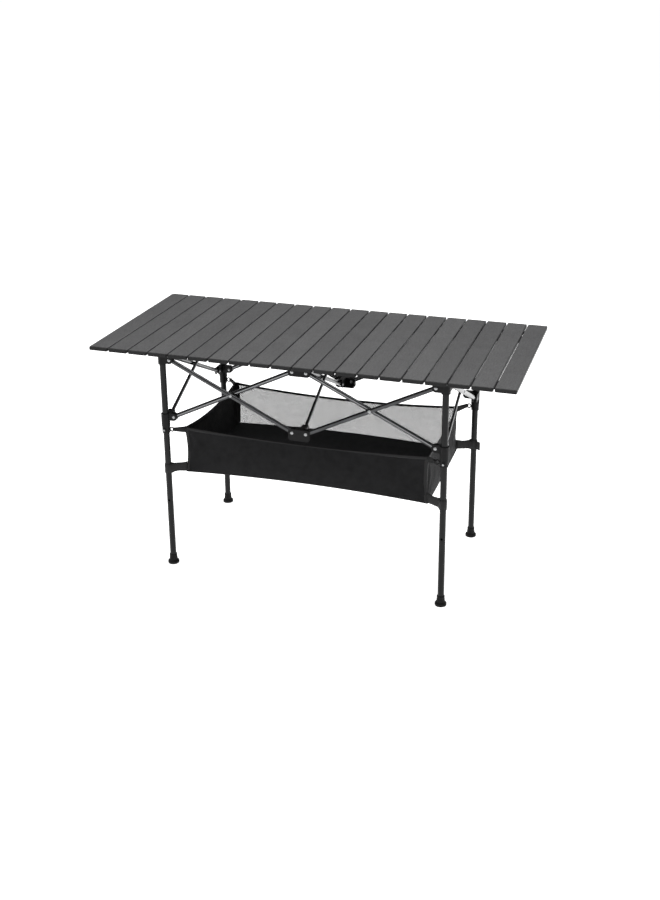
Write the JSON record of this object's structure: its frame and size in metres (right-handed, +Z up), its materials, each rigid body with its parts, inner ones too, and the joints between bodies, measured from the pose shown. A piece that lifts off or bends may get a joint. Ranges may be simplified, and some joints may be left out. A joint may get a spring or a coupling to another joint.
{
  "type": "folding camp kitchen table",
  "caption": "Folding camp table with a roll-up slatted top on a scissor frame with sliding leg brackets, rubber feet and a hanging fabric basket.",
  "frame": {"origin": "on the ground, at the centre of the table's bounding box", "axes": "+X along the table's length, +Y towards the mesh side of the basket, +Z up"},
  "size_m": [1.2, 0.55, 0.68],
  "materials": {
    "slat": "dark grey powder coat on aluminium, satin",
    "leg_tube": "black powder coat, satin",
    "bar": "black powder coat with bare rivets, satin",
    "moulding": "moulded black nylon, fine grain",
    "foot": "matt black rubber",
    "button": "plated steel",
    "cord": "braided cover over rubber",
    "basket_cloth": "woven polyester, matt",
    "basket_mesh": "open knitted mesh, black"
  },
  "bodies": {
    "front_top_hub": {"top_hub_front": "moulding"},
    "leg_front_left": {"leg_tube_front_left": "leg_tube", "foot_front_left": "foot", "top_bracket_front_left": "moulding"},
    "slider_front_left": {"slider_front_left": "moulding"},
    "button_front_left": {"snap_button_front_left": "button"},
    "bar_front_left_a": {"cross_bar_front_left_a": "bar"},
    "bar_front_left_b": {"cross_bar_front_left_b": "bar"},
    "leg_front_right": {"leg_tube_front_right": "leg_tube", "foot_front_right": "foot", "top_bracket_front_right": "moulding"},
    "slider_front_right": {"slider_front_right": "moulding"},
    "button_front_right": {"snap_button_front_right": "button"},
    "bar_front_right_a": {"cross_bar_front_right_a": "bar"},
    "bar_front_right_b": {"cross_bar_front_right_b": "bar"},
    "leg_back_left": {"leg_tube_back_left": "leg_tube", "foot_back_left": "foot", "top_bracket_back_left": "moulding"},
    "slider_back_left": {"slider_back_left": "moulding"},
    "button_back_left": {"snap_button_back_left": "button"},
    "bar_back_left_a": {"cross_bar_back_left_a": "bar"},
    "bar_back_left_b": {"cross_bar_back_left_b": "bar"},
    "leg_back_right": {"leg_tube_back_right": "leg_tube", "foot_back_right": "foot", "top_bracket_back_right": "moulding"},
    "slider_back_right": {"slider_back_right": "moulding"},
    "button_back_right": {"snap_button_back_right": "button"},
    "bar_back_right_a": {"cross_bar_back_right_a": "bar"},
    "bar_back_right_b": {"cross_bar_back_right_b": "bar"},
    "bar_left_a": {"left_bar_a": "bar"},
    "bar_left_b": {"left_bar_b": "bar"},
    "bar_middle_a": {"middle_bar_a": "bar"},
    "bar_middle_b": {"middle_bar_b": "bar"},
    "bar_right_a": {"right_bar_a": "bar"},
    "bar_right_b": {"right_bar_b": "bar"},
    "back_top_hub": {"top_hub_back": "moulding"},
    "front_low_hub": {"low_hub_front": "moulding", "basket_bag": "basket_cloth", "basket_mesh": "basket_mesh"},
    "back_low_hub": {"low_hub_back": "moulding"},
    "tabletop_end": {"slat_pair_01_02": "slat", "elastic_cords": "cord"},
    "slat_03": {"slat_03": "slat"},
    "slat_04": {"slat_04": "slat"},
    "slat_05": {"slat_05": "slat"},
    "slat_06": {"slat_06": "slat"},
    "slat_07": {"slat_07": "slat"},
    "slat_08": {"slat_08": "slat"},
    "slat_09": {"slat_09": "slat"},
    "slat_10": {"slat_10": "slat"},
    "slat_11": {"slat_11": "slat"},
    "slat_12": {"slat_12": "slat"},
    "slat_13": {"slat_13": "slat"},
    "slat_14": {"slat_14": "slat"},
    "slat_15": {"slat_15": "slat"},
    "slat_16": {"slat_16": "slat"},
    "slat_17": {"slat_17": "slat"},
    "slat_18": {"slat_18": "slat"},
    "slat_19": {"slat_19": "slat"},
    "slat_20": {"slat_20": "slat"}
  },
  "joints": [
    {"name": "frame_fold", "type": "hinge", "parent": "front_top_hub", "child": "bar_front_left_b", "pos_m": [-0.02, -0.211, 0.643], "axis": [0, -1, 0], "range_deg": [0, 58.14], "deforming": ["basket_bag", "basket_mesh"]},
    {"name": "fold_slider_front_left", "type": "hinge", "parent": "bar_front_left_b", "child": "slider_front_left", "pos_m": [-0.381, -0.211, 0.468], "axis": [0, 1, 0], "range_deg": [0, 58.16]},
    {"name": "fold_front_left_cross", "type": "hinge", "parent": "bar_front_left_b", "child": "bar_front_left_a", "pos_m": [-0.2005, -0.211, 0.5555], "axis": [0, 1, 0], "range_deg": [0, 116.3]},
    {"name": "fold_leg_front_left", "type": "hinge", "parent": "bar_front_left_a", "child": "leg_front_left", "pos_m": [-0.381, -0.211, 0.643], "axis": [0, -1, 0], "range_deg": [0, 58.16]},
    {"name": "fold_front_right_b", "type": "hinge", "parent": "front_top_hub", "child": "bar_front_right_b", "pos_m": [0.02, -0.211, 0.643], "axis": [0, 1, 0], "range_deg": [0, 58.16]},
    {"name": "fold_slider_front_right", "type": "hinge", "parent": "bar_front_right_b", "child": "slider_front_right", "pos_m": [0.381, -0.211, 0.468], "axis": [0, -1, 0], "range_deg": [0, 58.16]},
    {"name": "fold_front_right_cross", "type": "hinge", "parent": "bar_front_right_b", "child": "bar_front_right_a", "pos_m": [0.2005, -0.211, 0.5555], "axis": [0, -1, 0], "range_deg": [0, 116.3]},
    {"name": "fold_leg_front_right", "type": "hinge", "parent": "bar_front_right_a", "child": "leg_front_right", "pos_m": [0.381, -0.211, 0.643], "axis": [0, 1, 0], "range_deg": [0, 58.16]},
    {"name": "fold_low_hub_front", "type": "hinge", "parent": "bar_front_left_a", "child": "front_low_hub", "pos_m": [-0.02, -0.211, 0.468], "axis": [0, -1, 0], "range_deg": [0, 58.16]},
    {"name": "fold_left_b", "type": "hinge", "parent": "leg_front_left", "child": "bar_left_b", "pos_m": [-0.406, -0.1805, 0.643], "axis": [-1, 0, 0], "range_deg": [0, 58.16]},
    {"name": "fold_left_cross", "type": "hinge", "parent": "bar_left_b", "child": "bar_left_a", "pos_m": [-0.406, 0, 0.5555], "axis": [1, 0, 0], "range_deg": [0, 116.3]},
    {"name": "fold_left_b_end", "type": "hinge", "parent": "bar_left_b", "child": "slider_back_left", "pos_m": [-0.406, 0.1805, 0.468], "axis": [1, 0, 0], "range_deg": [0, 58.16]},
    {"name": "fold_left_a_end", "type": "hinge", "parent": "bar_left_a", "child": "leg_back_left", "pos_m": [-0.406, 0.1805, 0.643], "axis": [-1, 0, 0], "range_deg": [0, 58.16]},
    {"name": "fold_right_b", "type": "hinge", "parent": "leg_front_right", "child": "bar_right_b", "pos_m": [0.406, -0.1805, 0.643], "axis": [-1, 0, 0], "range_deg": [0, 58.16]},
    {"name": "fold_right_cross", "type": "hinge", "parent": "bar_right_b", "child": "bar_right_a", "pos_m": [0.406, 0, 0.5555], "axis": [1, 0, 0], "range_deg": [0, 116.3]},
    {"name": "fold_right_b_end", "type": "hinge", "parent": "bar_right_b", "child": "slider_back_right", "pos_m": [0.406, 0.1805, 0.468], "axis": [1, 0, 0], "range_deg": [0, 58.16]},
    {"name": "fold_right_a_end", "type": "hinge", "parent": "bar_right_a", "child": "leg_back_right", "pos_m": [0.406, 0.1805, 0.643], "axis": [-1, 0, 0], "range_deg": [0, 58.16]},
    {"name": "fold_middle_b", "type": "hinge", "parent": "front_top_hub", "child": "bar_middle_b", "pos_m": [0, -0.1805, 0.643], "axis": [-1, 0, 0], "range_deg": [0, 58.16]},
    {"name": "fold_middle_cross", "type": "hinge", "parent": "bar_middle_b", "child": "bar_middle_a", "pos_m": [0, 0, 0.5555], "axis": [1, 0, 0], "range_deg": [0, 116.3]},
    {"name": "fold_middle_b_end", "type": "hinge", "parent": "bar_middle_b", "child": "back_low_hub", "pos_m": [0, 0.1805, 0.468], "axis": [1, 0, 0], "range_deg": [0, 58.16]},
    {"name": "fold_middle_a_end", "type": "hinge", "parent": "bar_middle_a", "child": "back_top_hub", "pos_m": [0, 0.1805, 0.643], "axis": [-1, 0, 0], "range_deg": [0, 58.16]},
    {"name": "fold_back_left_b", "type": "hinge", "parent": "back_top_hub", "child": "bar_back_left_b", "pos_m": [-0.02, 0.211, 0.643], "axis": [0, -1, 0], "range_deg": [0, 58.16]},
    {"name": "fold_back_left_cross", "type": "hinge", "parent": "bar_back_left_b", "child": "bar_back_left_a", "pos_m": [-0.2005, 0.211, 0.5555], "axis": [0, 1, 0], "range_deg": [0, 116.3]},
    {"name": "fold_back_right_b", "type": "hinge", "parent": "back_top_hub", "child": "bar_back_right_b", "pos_m": [0.02, 0.211, 0.643], "axis": [0, 1, 0], "range_deg": [0, 58.16]},
    {"name": "fold_back_right_cross", "type": "hinge", "parent": "bar_back_right_b", "child": "bar_back_right_a", "pos_m": [0.2005, 0.211, 0.5555], "axis": [0, -1, 0], "range_deg": [0, 116.3]},
    {"name": "press_button_front_left", "type": "slide", "parent": "slider_front_left", "child": "button_front_left", "axis": [0, 1, 0], "range_m": [0, 0.003], "stiffness_N_per_m": 500, "springref_m": -0.001},
    {"name": "press_button_front_right", "type": "slide", "parent": "slider_front_right", "child": "button_front_right", "axis": [0, 1, 0], "range_m": [0, 0.003], "stiffness_N_per_m": 500, "springref_m": -0.001},
    {"name": "press_button_back_left", "type": "slide", "parent": "slider_back_left", "child": "button_back_left", "axis": [0, -1, 0], "range_m": [0, 0.003], "stiffness_N_per_m": 500, "springref_m": -0.001},
    {"name": "press_button_back_right", "type": "slide", "parent": "slider_back_right", "child": "button_back_right", "axis": [0, -1, 0], "range_m": [0, 0.003], "stiffness_N_per_m": 500, "springref_m": -0.001},
    {"name": "tabletop_lift", "type": "slide", "parent": "front_top_hub", "child": "tabletop_end", "axis": [0, 0, 1], "range_m": [0, 0.1]},
    {"name": "tabletop_roll", "type": "hinge", "parent": "tabletop_end", "child": "slat_03", "pos_m": [-0.4812, 0, 0.675], "axis": [0, -1, 0], "range_deg": [0, 19.5], "deforming": ["elastic_cords"]},
    {"name": "roll_slat_04", "type": "hinge", "parent": "slat_03", "child": "slat_04", "pos_m": [-0.42105, 0, 0.675], "axis": [0, -1, 0], "range_deg": [0, 20.14]},
    {"name": "roll_slat_05", "type": "hinge", "parent": "slat_04", "child": "slat_05", "pos_m": [-0.3609, 0, 0.675], "axis": [0, -1, 0], "range_deg": [0, 20.75]},
    {"name": "roll_slat_06", "type": "hinge", "parent": "slat_05", "child": "slat_06", "pos_m": [-0.30075, 0, 0.675], "axis": [0, -1, 0], "range_deg": [0, 21.37]},
    {"name": "roll_slat_07", "type": "hinge", "parent": "slat_06", "child": "slat_07", "pos_m": [-0.2406, 0, 0.675], "axis": [0, -1, 0], "range_deg": [0, 21.99]},
    {"name": "roll_slat_08", "type": "hinge", "parent": "slat_07", "child": "slat_08", "pos_m": [-0.18045, 0, 0.675], "axis": [0, -1, 0], "range_deg": [0, 22.61]},
    {"name": "roll_slat_09", "type": "hinge", "parent": "slat_08", "child": "slat_09", "pos_m": [-0.1203, 0, 0.675], "axis": [0, -1, 0], "range_deg": [0, 23.23]},
    {"name": "roll_slat_10", "type": "hinge", "parent": "slat_09", "child": "slat_10", "pos_m": [-0.06015, 0, 0.675], "axis": [0, -1, 0], "range_deg": [0, 23.84]},
    {"name": "roll_slat_11", "type": "hinge", "parent": "slat_10", "child": "slat_11", "pos_m": [0, 0, 0.675], "axis": [0, -1, 0], "range_deg": [0, 24.46]},
    {"name": "roll_slat_12", "type": "hinge", "parent": "slat_11", "child": "slat_12", "pos_m": [0.06015, 0, 0.675], "axis": [0, -1, 0], "range_deg": [0, 25.08]},
    {"name": "roll_slat_13", "type": "hinge", "parent": "slat_12", "child": "slat_13", "pos_m": [0.1203, 0, 0.675], "axis": [0, -1, 0], "range_deg": [0, 25.7]},
    {"name": "roll_slat_14", "type": "hinge", "parent": "slat_13", "child": "slat_14", "pos_m": [0.18045, 0, 0.675], "axis": [0, -1, 0], "range_deg": [0, 26.31]},
    {"name": "roll_slat_15", "type": "hinge", "parent": "slat_14", "child": "slat_15", "pos_m": [0.2406, 0, 0.675], "axis": [0, -1, 0], "range_deg": [0, 26.93]},
    {"name": "roll_slat_16", "type": "hinge", "parent": "slat_15", "child": "slat_16", "pos_m": [0.30075, 0, 0.675], "axis": [0, -1, 0], "range_deg": [0, 27.55]},
    {"name": "roll_slat_17", "type": "hinge", "parent": "slat_16", "child": "slat_17", "pos_m": [0.3609, 0, 0.675], "axis": [0, -1, 0], "range_deg": [0, 28.17]},
    {"name": "roll_slat_18", "type": "hinge", "parent": "slat_17", "child": "slat_18", "pos_m": [0.42105, 0, 0.675], "axis": [0, -1, 0], "range_deg": [0, 28.78]},
    {"name": "roll_slat_19", "type": "hinge", "parent": "slat_18", "child": "slat_19", "pos_m": [0.4812, 0, 0.675], "axis": [0, -1, 0], "range_deg": [0, 29.4]},
    {"name": "roll_slat_20", "type": "hinge", "parent": "slat_19", "child": "slat_20", "pos_m": [0.54135, 0, 0.675], "axis": [0, -1, 0], "range_deg": [0, 30.02]}
  ],
  "couplings": [
    {"joint": "fold_slider_front_left", "follows": "frame_fold", "ratio": 1},
    {"joint": "fold_front_left_cross", "follows": "frame_fold", "ratio": 2},
    {"joint": "fold_leg_front_left", "follows": "frame_fold", "ratio": 1},
    {"joint": "fold_front_right_b", "follows": "frame_fold", "ratio": 1},
    {"joint": "fold_slider_front_right", "follows": "frame_fold", "ratio": 1},
    {"joint": "fold_front_right_cross", "follows": "frame_fold", "ratio": 2},
    {"joint": "fold_leg_front_right", "follows": "frame_fold", "ratio": 1},
    {"joint": "fold_low_hub_front", "follows": "frame_fold", "ratio": 1},
    {"joint": "fold_left_b", "follows": "frame_fold", "ratio": 1},
    {"joint": "fold_left_cross", "follows": "frame_fold", "ratio": 2},
    {"joint": "fold_left_b_end", "follows": "frame_fold", "ratio": 1},
    {"joint": "fold_left_a_end", "follows": "frame_fold", "ratio": 1},
    {"joint": "fold_right_b", "follows": "frame_fold", "ratio": 1},
    {"joint": "fold_right_cross", "follows": "frame_fold", "ratio": 2},
    {"joint": "fold_right_b_end", "follows": "frame_fold", "ratio": 1},
    {"joint": "fold_right_a_end", "follows": "frame_fold", "ratio": 1},
    {"joint": "fold_middle_b", "follows": "frame_fold", "ratio": 1},
    {"joint": "fold_middle_cross", "follows": "frame_fold", "ratio": 2},
    {"joint": "fold_middle_b_end", "follows": "frame_fold", "ratio": 1},
    {"joint": "fold_middle_a_end", "follows": "frame_fold", "ratio": 1},
    {"joint": "fold_back_left_b", "follows": "frame_fold", "ratio": 1},
    {"joint": "fold_back_left_cross", "follows": "frame_fold", "ratio": 2},
    {"joint": "fold_back_right_b", "follows": "frame_fold", "ratio": 1},
    {"joint": "fold_back_right_cross", "follows": "frame_fold", "ratio": 2},
    {"joint": "roll_slat_04", "follows": "tabletop_roll", "ratio": 1.0317},
    {"joint": "roll_slat_05", "follows": "tabletop_roll", "ratio": 1.0633},
    {"joint": "roll_slat_06", "follows": "tabletop_roll", "ratio": 1.095},
    {"joint": "roll_slat_07", "follows": "tabletop_roll", "ratio": 1.1267},
    {"joint": "roll_slat_08", "follows": "tabletop_roll", "ratio": 1.1584},
    {"joint": "roll_slat_09", "follows": "tabletop_roll", "ratio": 1.19},
    {"joint": "roll_slat_10", "follows": "tabletop_roll", "ratio": 1.2217},
    {"joint": "roll_slat_11", "follows": "tabletop_roll", "ratio": 1.2534},
    {"joint": "roll_slat_12", "follows": "tabletop_roll", "ratio": 1.2851},
    {"joint": "roll_slat_13", "follows": "tabletop_roll", "ratio": 1.3167},
    {"joint": "roll_slat_14", "follows": "tabletop_roll", "ratio": 1.3484},
    {"joint": "roll_slat_15", "follows": "tabletop_roll", "ratio": 1.3801},
    {"joint": "roll_slat_16", "follows": "tabletop_roll", "ratio": 1.4118},
    {"joint": "roll_slat_17", "follows": "tabletop_roll", "ratio": 1.4434},
    {"joint": "roll_slat_18", "follows": "tabletop_roll", "ratio": 1.4751},
    {"joint": "roll_slat_19", "follows": "tabletop_roll", "ratio": 1.5068},
    {"joint": "roll_slat_20", "follows": "tabletop_roll", "ratio": 1.5385}
  ]
}
